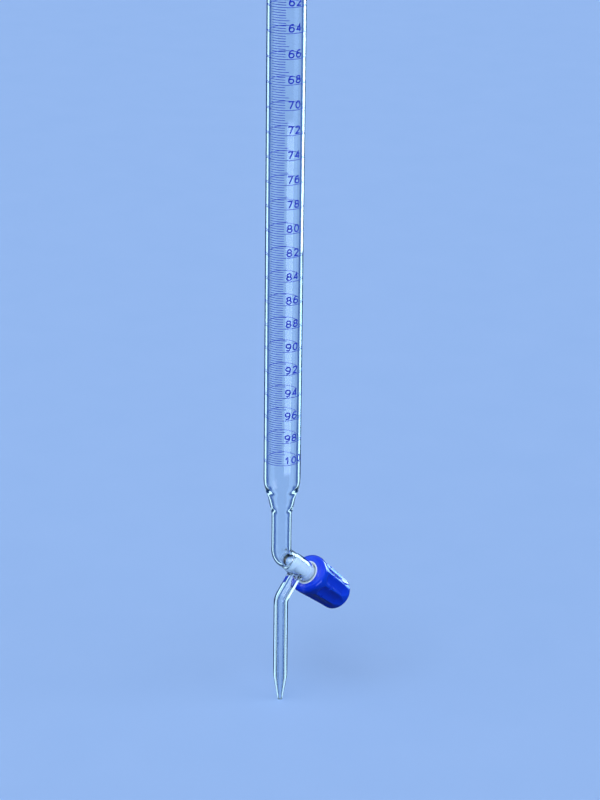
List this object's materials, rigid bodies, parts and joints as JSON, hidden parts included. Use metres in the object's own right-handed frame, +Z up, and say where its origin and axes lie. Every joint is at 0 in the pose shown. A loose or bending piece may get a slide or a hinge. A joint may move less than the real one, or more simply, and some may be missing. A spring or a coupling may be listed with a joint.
{
  "type": "burette",
  "caption": "Graduated glass burette with a screw needle valve: a fluted knob on an oblique barrel draws a plunger off its seat and lets liquid run to a drawn jet.",
  "frame": {"origin": "middle of the end face of the jet's tip, on the axis of the graduated tube", "axes": "+Z up the graduated tube, +X level, from the tube's axis towards the valve knob"},
  "size_m": [0.052, 0.02, 0.7726],
  "materials": {
    "glass": "clear fire-polished borosilicate glass",
    "scale_enamel": "blue fired enamel of the scale",
    "fluoropolymer": "turned white fluoropolymer",
    "seal_rubber": "moulded black seal rubber",
    "knob_plastic": "glossy moulded blue plastic",
    "sleeve_plastic": "moulded white plastic",
    "ring_steel": "spring steel"
  },
  "bodies": {
    "glass_body": {"graduated_tube": "glass", "reducing_cone": "glass", "neck_tube": "glass", "valve_barrel": "glass", "delivery_jet": "glass"},
    "plunger_body": {"plunger": "fluoropolymer", "front_seal_ring": "seal_rubber", "rear_seal_ring": "seal_rubber"},
    "knob_body": {"knob_shell": "knob_plastic", "thread_sleeve": "sleeve_plastic", "thrust_washer": "fluoropolymer", "snap_ring": "ring_steel"}
  },
  "joints": [
    {"name": "plunger_slide", "type": "slide", "parent": "glass_body", "child": "plunger_body", "axis": [0.7431, 0, -0.6691], "range_m": [0, 0.005]},
    {"name": "knob_turn", "type": "hinge", "parent": "plunger_body", "child": "knob_body", "pos_m": [0.0056, 0, 0.07477], "axis": [0.7431, 0, -0.6691], "range_deg": [0, 720]}
  ],
  "couplings": [
    {"joint": "plunger_slide", "follows": "knob_turn", "m_per_rad": 0.00039789}
  ]
}
